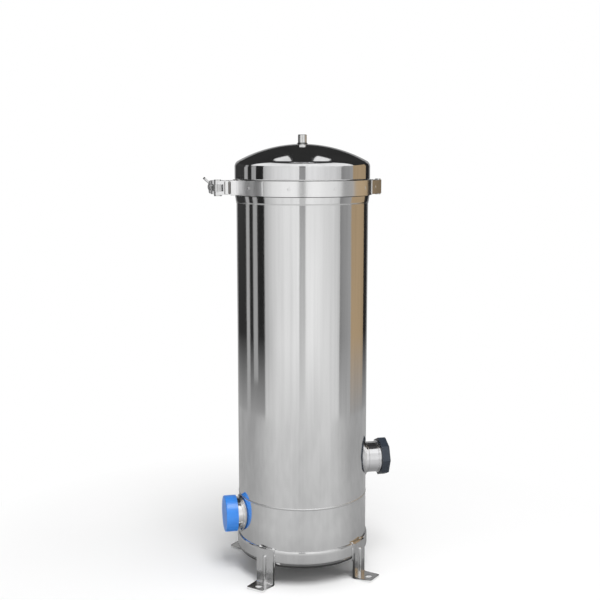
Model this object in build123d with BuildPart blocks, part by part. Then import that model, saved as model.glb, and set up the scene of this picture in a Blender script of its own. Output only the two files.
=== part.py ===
"""Clamp-lid multi-cartridge filter housing in polished stainless steel.

Frame: +Z up, origin on the floor at the centre of the four foot bolts, X through both ports
(inlet on +X, outlet on -X).  All lengths are millimetres, all angles degrees.
"""

from build123d import *
import os
from math import asin, cos, degrees, floor, pi, radians, sin, sqrt, tan

os.makedirs("parts", exist_ok=True)

# ---------------------------------------------------------------- driving dimensions
# Vessel
shell_radius = 100.0
shell_wall = 2.0
ground_clearance = 20.0
head_wall = 2.5
head_top = 56.0
head_crown = 600.0
head_knuckle = 12.0
head_lap = 12.0
head_shoulder = 5.0
head_land = 0.4
sheet_margin = 0.85
sheet_thickness = 6.0
seam_width = 3.0
seam_proud = 0.5

# Ferrules that the clamp draws together
rim_proud = 3.0
rim_edge = 6.0
rim_taper = 35.0
neck_length = 3.0
collar_proud = 2.2
collar_length = 9.1
collar_bevel = 1.0
collar_taper = 1.4
collar_cone = 1.6
gasket_width = 2.4
gasket_height = 3.0
gasket_land = 1.0

# Lid
lid_flare = 2.5
lid_wall = 2.0
lid_cone = 2.0
lid_flange = 17.6
lid_crown = 201.0
lid_knuckle = 10.0
vent_radius = 6.6
vent_wall = 2.6
vent_height = 14.0
vent_weld = 2.0

# Clamp band
segment_thickness = 1.0
segment_play = 0.4
segment_lip = 0.6
strap_thickness = 1.2
strap_height = 22.2

# Hinge of the clamp
hinge_pin_radius = 3.0
hinge_eye_wall = 2.5
hinge_stand_off = 13.7
hinge_knuckle = 6.0
hinge_head_radius = 4.2
hinge_head_height = 1.6

# Swing-bolt closure of the clamp
ear_thickness = 1.6
ear_height = 20.6
ear_lap_angle = 34.0
ear_crook = 4.0
ear_stand_off = 26.0
pivot_radius = 4.0
pivot_offset = 15.0
pivot_head_radius = 5.4
pivot_head_height = 1.8
bolt_radius = 4.0
bolt_past_nut = 10.0
bolt_eye_wall = 3.4
bolt_eye_height = 10.0
bolt_chamfer = 1.0
nut_distance = 40.0
nut_gap = 0.3
slot_play = 0.8
saddle_thickness = 2.0
saddle_length = 20.0
saddle_width = 16.0
saddle_corner = 3.0
nut_height = 10.0
nut_base_radius = 8.0
nut_top_radius = 6.6
wing_reach = 19.5
wing_height = 20.0
wing_thickness = 3.0
wing_angle = 45.0

# Ports
port_radius = 24.15
port_wall = 3.65
thread_relief = 0.25
thread_chamfer = 1.0
bead_width = 2.5
bead_proud = 1.2
port_weld_width = 4.0
port_weld_proud = 2.0
inlet_margin = 13.85
inlet_length = 34.5
inlet_thread = 11.0
outlet_margin = 4.85
outlet_length = 22.5
outlet_thread = 16.8
inlet_cap_wall = 3.8
inlet_cap_face = 2.5
outlet_cap_wall = 3.8
outlet_cap_face = 2.2
cap_edge = 1.5
cap_mouth_gap = 0.5

# Legs
leg_count = 4
leg_first_angle = 45.0
leg_width = 30.0
leg_thickness = 3.0
leg_foot = 30.5
leg_bend = 5.0
leg_corner = 4.0
leg_bead_radius = 3.0
leg_bead_margin = 12.0
foot_bolt_offset = 18.5
foot_hole_radius = 5.5

# Cartridges and their hold-down
cartridge_wall_gap = 7.25
cartridge_gap = 2.0
cartridge_radius = 31.75
cartridge_bore = 14.0
cartridge_length = 495.0
cartridge_rise = 22.6
cap_disc = 4.0
cap_disc_inset = 1.5
spigot_wall = 2.5
spigot_height = 10.0
rod_radius = 5.0
rod_above_plate = 24.0
plate_thickness = 2.5
plate_hub_radius = 26.0
plate_arm_width = 26.0
plate_pad_radius = 16.5
rod_washer_radius = 11.0
rod_washer_thickness = 2.0
rod_nut_flats = 16.0
rod_nut_height = 8.0

# Working clearances
running_clearance = 0.08
side_clearance = 0.15
loose_clearance = 0.3

# ---------------------------------------------------------------- derived places
shell_inner = shell_radius - shell_wall
head_radius = shell_radius + head_wall
lid_radius = shell_radius + lid_flare
rim_radius = shell_radius + rim_proud
rim_root = rim_edge + rim_proud * tan(radians(rim_taper))
neck_end = rim_root + neck_length

port_bore = port_radius - port_wall
thread_radius = port_radius - thread_relief
port_footprint = port_radius + port_weld_width
inlet_reach = shell_radius + inlet_length
outlet_reach = shell_radius + outlet_length
outlet_height = head_top + outlet_margin + port_footprint
sheet_height = outlet_height + port_footprint + sheet_margin
sheet_top = sheet_height + sheet_thickness
seam_height = sheet_height + sheet_thickness / 2
inlet_height = sheet_top + inlet_margin + port_footprint

cartridge_circle = shell_inner - cartridge_wall_gap - cartridge_radius
cartridge_count = floor(pi / asin((cartridge_radius + cartridge_gap / 2) / cartridge_circle))
cartridge_top = sheet_top + cartridge_length
plate_top = cartridge_top + plate_thickness
rod_top = plate_top + rod_above_plate
joint_height = cartridge_top - cartridge_rise
shell_top = joint_height - neck_end - collar_bevel - collar_length - collar_cone

segment_inner = rim_radius + segment_play
strap_inner = segment_inner + segment_thickness
strap_outer = strap_inner + strap_thickness
ear_outer = strap_outer + ear_thickness
strap_bottom = joint_height - strap_height / 2
strap_top = joint_height + strap_height / 2
ear_bottom = joint_height - ear_height / 2
ear_top = joint_height + ear_height / 2

hinge_radius = strap_outer + hinge_stand_off
hinge_eye_radius = hinge_pin_radius + hinge_eye_wall
hinge_strap_angle = degrees(asin((hinge_eye_radius - ear_thickness) / strap_outer))

pivot_x = -(strap_outer + ear_stand_off)
loop_radius = pivot_radius + ear_thickness
rear_loop_y = nut_distance - pivot_offset - nut_gap - loop_radius
saddle_y = nut_distance - pivot_offset
nut_y = saddle_y + saddle_thickness
bolt_length = nut_distance + saddle_thickness + nut_height + bolt_past_nut

inlet_cap_depth = inlet_thread + inlet_cap_face - cap_mouth_gap
outlet_cap_depth = outlet_thread + outlet_cap_face - cap_mouth_gap
cap_bore = thread_radius + loose_clearance
leg_reach = head_radius + leg_foot
foot_bolt_radius = head_radius + foot_bolt_offset

lid_base = joint_height + neck_end + lid_cone
lid_tangent = lid_base + lid_flange

def dish_drop(radius, crown, knuckle):
    """Height from the end of a dished head's straight flange to its pole."""
    return crown - sqrt((crown - knuckle) ** 2 - (radius - knuckle) ** 2)


lid_top = lid_tangent + dish_drop(lid_radius, lid_crown, lid_knuckle)
vent_top = lid_top + vent_height
vent_bore = vent_radius - vent_wall


def radial_plane(angle):
    """Upright plane through the vessel axis: local x runs outward at the angle, local y up."""
    turn = radians(angle)
    outward = (cos(turn), sin(turn), 0)
    return Plane(origin=(0, 0, 0), x_dir=outward, z_dir=(sin(turn), -cos(turn), 0))


def dish_section(radius, wall, crown, knuckle, pole, edge, up):
    """Half section of a dished head: crown arc, knuckle arc and straight flange of even wall."""
    lean = asin((radius - knuckle) / (crown - knuckle))
    crown_mid = Vector(0, pole - up * crown)
    knuckle_mid = crown_mid + Vector(sin(lean), up * cos(lean)) * (crown - knuckle)

    def at(middle, reach, turn):
        return middle + Vector(sin(turn), up * cos(turn)) * reach

    half_lean = lean / 2
    half_knuckle = (lean + pi / 2) / 2
    inner_crown = crown - wall
    inner_knuckle = knuckle - wall
    with BuildSketch(Plane.XZ) as section:
        with BuildLine():
            outer_crown_arc = ThreePointArc(
                at(crown_mid, crown, 0), at(crown_mid, crown, half_lean), at(crown_mid, crown, lean)
            )
            outer_knuckle_arc = ThreePointArc(
                outer_crown_arc @ 1,
                at(knuckle_mid, knuckle, half_knuckle),
                at(knuckle_mid, knuckle, pi / 2),
            )
            inner_crown_arc = ThreePointArc(
                at(crown_mid, inner_crown, 0),
                at(crown_mid, inner_crown, half_lean),
                at(crown_mid, inner_crown, lean),
            )
            inner_knuckle_arc = ThreePointArc(
                inner_crown_arc @ 1,
                at(knuckle_mid, inner_knuckle, half_knuckle),
                at(knuckle_mid, inner_knuckle, pi / 2),
            )
            Polyline(outer_knuckle_arc @ 1, (radius, edge), (radius - wall, edge), inner_knuckle_arc @ 1)
            Line(outer_crown_arc @ 0, inner_crown_arc @ 0)
        make_face()
    return section


def ring_sector(inner, outer, start, span):
    """Flat ring sector about the vessel axis, drawn in the open sketch."""
    with BuildLine() as outline:
        outer_arc = CenterArc((0, 0), outer, start, span)
        inner_arc = CenterArc((0, 0), inner, start, span)
        Line(outer_arc @ 0, inner_arc @ 0)
        Line(outer_arc @ 1, inner_arc @ 1)
    make_face(outline.edges())


def save(piece, name):
    """Label a finished piece and write it to its own file."""
    piece.part.label = name
    export_step(piece.part, f"parts/{name}.step")


# ---------------------------------------------------------------- vessel
with BuildPart() as bottom_head:
    head_section = dish_section(
        head_radius, head_wall, head_crown, head_knuckle, ground_clearance, head_top, -1
    )
    add(head_section.sketch)
    revolve(axis=Axis.Z)
    with BuildSketch(Plane.XZ):
        with BuildLine():
            shoulder_arc = EllipticalCenterArc(
                (shell_radius + head_land, head_top - head_shoulder), head_wall - head_land, head_shoulder, arc_size=90
            )
            Polyline(
                shoulder_arc @ 1,
                (shell_radius + head_land, head_top + head_land),
                (head_radius + head_land, head_top + head_land),
                (head_radius + head_land, head_top - head_shoulder),
                shoulder_arc @ 0,
            )
        make_face()
    revolve(axis=Axis.Z, mode=Mode.SUBTRACT)
save(bottom_head, "bottom_head")

with BuildPart() as lower_shell:
    with BuildSketch(Plane.XY.offset(head_top - head_lap)):
        Circle(shell_radius)
        Circle(shell_inner, mode=Mode.SUBTRACT)
    extrude(amount=seam_height - head_top + head_lap)
    with BuildSketch(Plane.YZ):
        with Locations((0, outlet_height)):
            Circle(port_radius)
    extrude(amount=-head_radius, mode=Mode.SUBTRACT)
save(lower_shell, "lower_shell")

with BuildPart() as upper_shell:
    with BuildSketch(Plane.XY.offset(seam_height)):
        Circle(shell_radius)
        Circle(shell_inner, mode=Mode.SUBTRACT)
    extrude(amount=shell_top - seam_height)
    with BuildSketch(Plane.YZ):
        with Locations((0, inlet_height)):
            Circle(port_radius)
    extrude(amount=head_radius, mode=Mode.SUBTRACT)
save(upper_shell, "upper_shell")

with BuildPart() as seam_weld:
    with BuildSketch(Plane.XZ):
        with BuildLine():
            crown_line = ThreePointArc(
                (shell_radius, seam_height - seam_width / 2),
                (shell_radius + seam_proud, seam_height),
                (shell_radius, seam_height + seam_width / 2),
            )
            Line(crown_line @ 1, crown_line @ 0)
        make_face()
    revolve(axis=Axis.Z)
save(seam_weld, "seam_weld")

with BuildPart() as tube_sheet:
    with BuildSketch(Plane.XY.offset(sheet_height)):
        Circle(shell_inner)
        Circle(rod_radius, mode=Mode.SUBTRACT)
        with PolarLocations(cartridge_circle, cartridge_count, start_angle=90):
            Circle(cartridge_bore - loose_clearance - spigot_wall, mode=Mode.SUBTRACT)
    extrude(amount=sheet_thickness)
    with BuildSketch(Plane.XY.offset(sheet_top)):
        with PolarLocations(cartridge_circle, cartridge_count, start_angle=90):
            Circle(cartridge_bore - loose_clearance)
            Circle(cartridge_bore - loose_clearance - spigot_wall, mode=Mode.SUBTRACT)
    extrude(amount=spigot_height)
save(tube_sheet, "tube_sheet")


def ferrule_section(reach_points, up):
    """Half section of a clamp ferrule: points are (radius, distance from the joint face)."""
    with BuildSketch(Plane.XZ) as section:
        with BuildLine():
            Polyline([(radius, joint_height + up * away) for radius, away in reach_points], close=True)
        make_face()
        with Locations((shell_inner + gasket_land + gasket_width / 2, joint_height)):
            Rectangle(gasket_width, gasket_height, mode=Mode.SUBTRACT)
    return section


collar_radius = shell_radius + collar_proud
collar_start = neck_end + collar_bevel
with BuildPart() as shell_ferrule:
    shell_ferrule_points = [
        (shell_inner, 0),
        (rim_radius, 0),
        (rim_radius, rim_edge),
        (shell_radius, rim_root),
        (shell_radius, neck_end),
        (collar_radius, collar_start),
        (collar_radius - collar_taper, collar_start + collar_length),
        (shell_radius, joint_height - shell_top),
        (shell_inner, joint_height - shell_top),
    ]
    add(ferrule_section(shell_ferrule_points, -1).sketch)
    revolve(axis=Axis.Z)
save(shell_ferrule, "shell_ferrule")

# ---------------------------------------------------------------- lid
with BuildPart() as lid_ferrule:
    lid_ferrule_points = [
        (shell_inner, 0),
        (rim_radius, 0),
        (rim_radius, rim_edge),
        (shell_radius, rim_root),
        (shell_radius, neck_end),
        (lid_radius, neck_end + lid_cone),
        (lid_radius - lid_wall, neck_end + lid_cone),
        (shell_inner, rim_root),
    ]
    add(ferrule_section(lid_ferrule_points, 1).sketch)
    revolve(axis=Axis.Z)
save(lid_ferrule, "lid_ferrule")

with BuildPart() as lid_gasket:
    with BuildSketch(Plane.XZ):
        with Locations((shell_inner + gasket_land + gasket_width / 2, joint_height)):
            Rectangle(gasket_width, gasket_height)
    revolve(axis=Axis.Z)
save(lid_gasket, "lid_gasket")

with BuildPart() as lid_dome:
    add(dish_section(lid_radius, lid_wall, lid_crown, lid_knuckle, lid_top, lid_base, 1).sketch)
    revolve(axis=Axis.Z)
    with Locations((0, 0, lid_top)):
        Cylinder(vent_radius, 4 * lid_wall, mode=Mode.SUBTRACT)
save(lid_dome, "lid_dome")

with BuildPart() as vent_socket:
    vent_foot = lid_top - lid_wall
    with BuildSketch(Plane.XZ):
        with BuildLine():
            Polyline(
                (vent_bore, vent_foot),
                (vent_radius, vent_foot),
                (vent_radius, lid_top),
                (vent_radius + vent_weld, lid_top),
                (vent_radius, lid_top + vent_weld),
                (vent_radius, vent_top),
                (vent_bore, vent_top),
                close=True,
            )
        make_face()
    revolve(axis=Axis.Z)
    chamfer(vent_socket.edges().group_by(Axis.Z)[-1], length=(vent_radius - vent_bore) / 4)
save(vent_socket, "vent_socket")


# ---------------------------------------------------------------- ports
def port_nozzle(side, height, reach, thread):
    """Threaded pipe stub through the shell wall; side is +1 for +X and -1 for -X."""
    thread_start = reach - thread
    bead_start = thread_start - bead_width
    root = shell_inner * cos(asin(port_radius / shell_inner)) - shell_wall
    with BuildPart() as nozzle:
        with BuildSketch(Plane.XZ):
            with BuildLine():
                Polyline(
                    (side * root, height + port_bore),
                    (side * root, height + port_radius),
                    (side * bead_start, height + port_radius),
                    (side * bead_start, height + port_radius + bead_proud),
                    (side * thread_start, height + port_radius + bead_proud),
                    (side * thread_start, height + thread_radius),
                    (side * (reach - thread_chamfer), height + thread_radius),
                    (side * reach, height + thread_radius - thread_chamfer),
                    (side * reach, height + port_bore),
                    close=True,
                )
            make_face()
        revolve(axis=Axis((0, 0, height), (1, 0, 0)))
        with Locations((0, 0, height)):
            Cylinder(shell_inner, 4 * port_radius, mode=Mode.SUBTRACT)
    return nozzle


def port_weld(side, height):
    """Saddle-shaped weld collar between a nozzle and the outside of the shell."""
    with BuildPart() as weld:
        with BuildSketch(Plane.YZ):
            with Locations((0, height)):
                Circle(port_radius + port_weld_width)
                Circle(port_radius, mode=Mode.SUBTRACT)
        extrude(amount=side * (shell_radius + 2 * port_weld_proud))
        with Locations((0, 0, height)):
            Cylinder(shell_radius + port_weld_proud, 4 * port_radius, mode=Mode.INTERSECT)
            Cylinder(shell_radius, 4 * port_radius, mode=Mode.SUBTRACT)
    return weld


save(port_nozzle(1, inlet_height, inlet_reach, inlet_thread), "inlet_nozzle")
save(port_nozzle(-1, outlet_height, outlet_reach, outlet_thread), "outlet_nozzle")
save(port_weld(1, inlet_height), "inlet_weld")
save(port_weld(-1, outlet_height), "outlet_weld")

with BuildPart() as inlet_cap:
    inlet_cap_mouth = inlet_reach + inlet_cap_face - inlet_cap_depth
    with BuildSketch(Plane.YZ.offset(inlet_cap_mouth)):
        with Locations((0, inlet_height)):
            RegularPolygon(cap_bore + inlet_cap_wall, 8, major_radius=False)
    extrude(amount=inlet_cap_depth)
    chamfer(inlet_cap.edges().group_by(Axis.X)[-1], length=cap_edge)
    with BuildSketch(Plane.YZ.offset(inlet_cap_mouth)):
        with Locations((0, inlet_height)):
            Circle(cap_bore)
    extrude(amount=inlet_cap_depth - inlet_cap_face, mode=Mode.SUBTRACT)
save(inlet_cap, "inlet_cap")

with BuildPart() as outlet_cap:
    outlet_cap_mouth = outlet_reach + outlet_cap_face - outlet_cap_depth
    with BuildSketch(Plane.YZ.offset(-outlet_cap_mouth)):
        with Locations((0, outlet_height)):
            Circle(cap_bore + outlet_cap_wall)
    extrude(amount=-outlet_cap_depth)
    fillet(outlet_cap.edges().group_by(Axis.X)[0], radius=cap_edge)
    with BuildSketch(Plane.YZ.offset(-outlet_cap_mouth)):
        with Locations((0, outlet_height)):
            Circle(cap_bore)
    extrude(amount=outlet_cap_face - outlet_cap_depth, mode=Mode.SUBTRACT)
save(outlet_cap, "outlet_cap")

# ---------------------------------------------------------------- legs
for leg_number in range(leg_count):
    leg_angle = leg_first_angle + leg_number * 360 / leg_count
    leg_face = head_radius + leg_thickness
    leg_root = sqrt(head_radius**2 - (leg_width / 2) ** 2) - leg_thickness / 2
    leg_plane = radial_plane(leg_angle)
    with BuildPart() as leg:
        with BuildSketch(leg_plane):
            with BuildLine():
                inner_bend = leg_bend - leg_thickness
                heel = FilletPolyline((leg_root, head_top), (leg_root, 0), (leg_reach, 0), radius=leg_bend)
                toe = FilletPolyline(
                    (leg_face, head_top),
                    (leg_face, leg_thickness),
                    (leg_reach, leg_thickness),
                    radius=inner_bend,
                )
                Line(heel @ 0, toe @ 0)
                Line(heel @ 1, toe @ 1)
            make_face()
        extrude(amount=leg_width / 2, both=True)
        fillet(leg.edges().filter_by(Axis.Z).sort_by_distance((0, 0, 0))[-2:], radius=leg_corner)
        with Locations(leg_plane.location):
            with Locations((leg_face, leg_thickness, 0)):
                Cylinder(
                    leg_bead_radius,
                    head_top - leg_thickness - leg_bead_margin,
                    rotation=(-90, 0, 0),
                    align=(Align.CENTER, Align.CENTER, Align.MIN),
                )
            with Locations((leg_face, head_top - leg_bead_margin, 0)):
                Sphere(leg_bead_radius)
            with Locations((foot_bolt_radius, 0, 0)):
                Cylinder(foot_hole_radius, 4 * leg_thickness, rotation=(90, 0, 0), mode=Mode.SUBTRACT)
        Cylinder(head_radius, 4 * head_top, mode=Mode.SUBTRACT)
    save(leg, f"leg_{leg_number + 1}")

# ---------------------------------------------------------------- cartridges and hold-down
for cartridge_number in range(cartridge_count):
    turn = radians(90 + cartridge_number * 360 / cartridge_count)
    middle = (cartridge_circle * cos(turn), cartridge_circle * sin(turn))
    media_radius = cartridge_radius - cap_disc_inset
    with BuildPart() as cartridge:
        with BuildSketch(Plane.XY.offset(sheet_top)):
            with Locations(middle):
                Circle(cartridge_radius)
                Circle(cartridge_bore, mode=Mode.SUBTRACT)
        extrude(amount=cap_disc)
        with BuildSketch(Plane.XY.offset(cartridge_top - cap_disc)):
            with Locations(middle):
                Circle(cartridge_radius)
                Circle(cartridge_bore, mode=Mode.SUBTRACT)
        extrude(amount=cap_disc)
        with BuildSketch(Plane.XY.offset(sheet_top)):
            with Locations(middle):
                Circle(media_radius)
                Circle(cartridge_bore, mode=Mode.SUBTRACT)
        extrude(amount=cartridge_length)
    save(cartridge, f"cartridge_{cartridge_number + 1}")

with BuildPart() as hold_down_plate:
    with BuildSketch(Plane.XY.offset(cartridge_top)):
        Circle(plate_hub_radius)
        with PolarLocations(cartridge_circle / 2, cartridge_count, start_angle=90):
            Rectangle(cartridge_circle, plate_arm_width)
        with PolarLocations(cartridge_circle, cartridge_count, start_angle=90):
            Circle(plate_pad_radius)
        Circle(rod_radius + loose_clearance, mode=Mode.SUBTRACT)
    extrude(amount=plate_thickness)
save(hold_down_plate, "hold_down_plate")

with BuildPart() as tie_rod:
    with BuildSketch(Plane.XY.offset(sheet_height)):
        Circle(rod_radius)
    extrude(amount=rod_top - sheet_height)
    chamfer(tie_rod.edges().group_by(Axis.Z)[-1], length=rod_radius / 5)
save(tie_rod, "tie_rod")

with BuildPart() as rod_washer:
    with BuildSketch(Plane.XY.offset(plate_top)):
        Circle(rod_washer_radius)
        Circle(rod_radius, mode=Mode.SUBTRACT)
    extrude(amount=rod_washer_thickness)
save(rod_washer, "rod_washer")

with BuildPart() as rod_nut:
    with BuildSketch(Plane.XY.offset(plate_top + rod_washer_thickness)):
        RegularPolygon(rod_nut_flats / 2, 6, major_radius=False)
        Circle(rod_radius, mode=Mode.SUBTRACT)
    extrude(amount=rod_nut_height)
save(rod_nut, "rod_nut")

# ---------------------------------------------------------------- clamp band
strap_front_end = degrees(asin((pivot_offset - loop_radius) / strap_outer))
strap_rear_end = degrees(asin((rear_loop_y - loop_radius) / strap_outer))
middle_knuckle = ear_height - 2 * hinge_knuckle - 2 * side_clearance


def band_strap(half, closure_angle, knuckles, pin_clearance):
    """Half strap with hinge eyes: half is -1 in front (y < 0) and +1 behind."""
    start = hinge_strap_angle if half > 0 else closure_angle - 180
    span = 180 - closure_angle - hinge_strap_angle
    tab_y = half * (hinge_eye_radius - ear_thickness / 2)
    tab_root = sqrt(strap_inner**2 - hinge_eye_radius**2)
    with BuildPart() as strap:
        with BuildSketch(Plane.XY.offset(strap_bottom)):
            ring_sector(strap_inner, strap_outer, start, span)
        extrude(amount=strap_height)
        for bottom, height in knuckles:
            with BuildSketch(Plane.XY.offset(bottom)):
                with Locations(((tab_root + hinge_radius) / 2, tab_y)):
                    Rectangle(hinge_radius - tab_root, ear_thickness)
                with Locations((hinge_radius, 0)):
                    Circle(hinge_eye_radius)
                Circle(strap_inner, mode=Mode.SUBTRACT)
                with Locations((hinge_radius, 0)):
                    Circle(hinge_pin_radius + pin_clearance, mode=Mode.SUBTRACT)
            extrude(amount=height)
    return strap


front_knuckles = [(ear_bottom, hinge_knuckle), (ear_top - hinge_knuckle, hinge_knuckle)]
rear_knuckles = [(ear_bottom + hinge_knuckle + side_clearance, middle_knuckle)]
save(band_strap(-1, strap_front_end, front_knuckles, running_clearance), "strap_front")
save(band_strap(1, strap_rear_end, rear_knuckles, 0), "strap_rear")


def v_segment(start, span):
    """Trapezoidal segment inside a strap, whose lips wedge the two ferrule rims together."""
    slope = tan(radians(rim_taper))
    lip_radius = shell_radius + segment_lip
    inner_edge = rim_edge + segment_play
    inner_lip = inner_edge + (segment_inner - lip_radius) * slope
    outer_edge = inner_edge + segment_thickness
    outer_lip = inner_lip + segment_thickness
    with BuildPart() as segment:
        with BuildSketch(radial_plane(start)):
            with BuildLine():
                Polyline(
                    (strap_inner, joint_height - outer_edge),
                    (lip_radius, joint_height - outer_lip),
                    (lip_radius, joint_height - inner_lip),
                    (segment_inner, joint_height - inner_edge),
                    (segment_inner, joint_height + inner_edge),
                    (lip_radius, joint_height + inner_lip),
                    (lip_radius, joint_height + outer_lip),
                    (strap_inner, joint_height + outer_edge),
                    close=True,
                )
            make_face()
        revolve(axis=Axis.Z, revolution_arc=span)
    return segment


segment_margin = strap_rear_end
segment_span = 180 - 2 * segment_margin
save(v_segment(segment_margin - 180, segment_span), "v_segment_front")
save(v_segment(segment_margin, segment_span), "v_segment_rear")

with BuildPart() as hinge_pin:
    with BuildSketch(Plane.XY.offset(ear_bottom - side_clearance)):
        with Locations((hinge_radius, 0)):
            Circle(hinge_pin_radius)
    extrude(amount=ear_height + 2 * side_clearance)
    for head_bottom in (ear_bottom - side_clearance - hinge_head_height, ear_top + side_clearance):
        with BuildSketch(Plane.XY.offset(head_bottom)):
            with Locations((hinge_radius, 0)):
                Circle(hinge_head_radius)
        extrude(amount=hinge_head_height)
save(hinge_pin, "hinge_pin")

# ---------------------------------------------------------------- swing-bolt closure
def closure_ear(half, loop_y, slot_reach, slot_height):
    """Strap lapped on the band, folded outward into a loop, with a slot that is open outward."""
    crook_y = abs(loop_y) + loop_radius
    leg_y = crook_y - ear_thickness
    lap_end = degrees(asin(leg_y / strap_outer))
    start = 180 - lap_end - ear_lap_angle if half > 0 else lap_end - 180
    with BuildPart() as ear:
        with BuildSketch(Plane.XY.offset(ear_bottom)):
            ring_sector(strap_outer, ear_outer, start, ear_lap_angle)
            with Locations((pivot_x / 2, loop_y)):
                Rectangle(-pivot_x, 2 * loop_radius)
            with Locations((pivot_x, loop_y)):
                Circle(loop_radius)
                Circle(pivot_radius, mode=Mode.SUBTRACT)
            with Locations((pivot_x / 2, loop_y)):
                Rectangle(-pivot_x, 2 * pivot_radius, mode=Mode.SUBTRACT)
            Circle(strap_outer, mode=Mode.SUBTRACT)
        extrude(amount=ear_height)
        with Locations((pivot_x + slot_reach, loop_y, joint_height)):
            Box(
                slot_reach + 2 * loop_radius,
                4 * loop_radius,
                slot_height,
                align=(Align.MAX, Align.CENTER, Align.CENTER),
                mode=Mode.SUBTRACT,
            )
        crook = (-sqrt(ear_outer**2 - crook_y**2), half * crook_y, joint_height)
        fillet(ear.edges().filter_by(Axis.Z).sort_by_distance(crook)[0], radius=ear_crook)
    return ear


eye_radius = pivot_radius + running_clearance + bolt_eye_wall
eye_slot_reach = eye_radius + loose_clearance
eye_slot_height = bolt_eye_height + 2 * side_clearance
save(closure_ear(-1, -pivot_offset, eye_slot_reach, eye_slot_height), "ear_front")

shank_slot_half = bolt_radius + slot_play
save(closure_ear(1, rear_loop_y, shank_slot_half, 2 * shank_slot_half), "ear_rear")

with BuildPart() as pivot_pin:
    with BuildSketch(Plane.XY.offset(ear_bottom)):
        with Locations((pivot_x, -pivot_offset)):
            Circle(pivot_radius)
    extrude(amount=ear_height)
    for head_bottom in (ear_bottom - pivot_head_height, ear_top):
        with BuildSketch(Plane.XY.offset(head_bottom)):
            with Locations((pivot_x, -pivot_offset)):
                Circle(pivot_head_radius)
        extrude(amount=pivot_head_height)
save(pivot_pin, "pivot_pin")

with BuildPart() as swing_bolt:
    with BuildSketch(Plane.XY.offset(joint_height - bolt_eye_height / 2)):
        with Locations((pivot_x, -pivot_offset)):
            Circle(eye_radius)
    extrude(amount=bolt_eye_height)
    with BuildSketch(Plane.XZ.offset(pivot_offset)):
        with Locations((pivot_x, joint_height)):
            Circle(bolt_radius)
    extrude(amount=-bolt_length)
    chamfer(swing_bolt.edges().group_by(Axis.Y)[-1], length=bolt_chamfer)
    with Locations((pivot_x, -pivot_offset, joint_height)):
        Cylinder(pivot_radius + running_clearance, 2 * bolt_eye_height, mode=Mode.SUBTRACT)
save(swing_bolt, "swing_bolt")

saddle_plane = Plane(origin=(pivot_x, saddle_y, joint_height), x_dir=(0, 0, 1), z_dir=(0, 1, 0))
with BuildPart() as saddle_washer:
    with BuildSketch(saddle_plane):
        RectangleRounded(saddle_length, saddle_width, saddle_corner)
        Circle(bolt_radius + running_clearance, mode=Mode.SUBTRACT)
    extrude(amount=saddle_thickness)
save(saddle_washer, "saddle_washer")

wing_turn = radians(wing_angle)
wing_dir = (-cos(wing_turn), 0, sin(wing_turn))
nut_plane = Plane(origin=(pivot_x, nut_y, joint_height), x_dir=wing_dir, z_dir=(0, 1, 0))
wing_plane = Plane(
    origin=(pivot_x, nut_y, joint_height), x_dir=wing_dir, z_dir=(-sin(wing_turn), 0, -cos(wing_turn))
)
with BuildPart() as wing_nut:
    with BuildSketch(wing_plane):
        with BuildLine():
            Polyline(
                (0, 0),
                (nut_base_radius, 0),
                (nut_top_radius, nut_height),
                (0, nut_height),
                close=True,
            )
        make_face()
    revolve(axis=Axis((pivot_x, nut_y, joint_height), (0, 1, 0)))
    with BuildSketch(wing_plane) as wings:
        with BuildLine():
            wing_start = (nut_top_radius / 2, wing_thickness / 2)
            Spline(
                wing_start,
                (nut_base_radius + wing_thickness, wing_thickness),
                (wing_reach, wing_height * 0.7),
                (wing_reach - wing_thickness, wing_height),
                (nut_base_radius + wing_thickness / 2, wing_height * 0.62),
                (nut_top_radius / 2, nut_height - wing_thickness / 2),
            )
            Line((nut_top_radius / 2, nut_height - wing_thickness / 2), wing_start)
        make_face()
        mirror(about=Plane.YZ)
    extrude(amount=wing_thickness / 2, both=True)
    with BuildSketch(nut_plane):
        Circle(bolt_radius + running_clearance)
    extrude(amount=wing_height, mode=Mode.SUBTRACT)
save(wing_nut, "wing_nut")
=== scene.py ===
# %% [markdown]
# # A cartridge filter housing in polished stainless steel
# A tall round vessel stands on four pressed legs. A domed lid is held on it by a
# band clamp with a wing nut, and two pipe ports near the bottom are closed with a
# blue and a black cap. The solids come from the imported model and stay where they
# are. This script gives them their finishes, adds the small forms that a
# fabricator leaves behind, such as weld ripples, spot welds and threads, and sets
# up a small studio. It runs from top to bottom, and each step can be read alone.

# %% Load the fixed frame
import math

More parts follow.
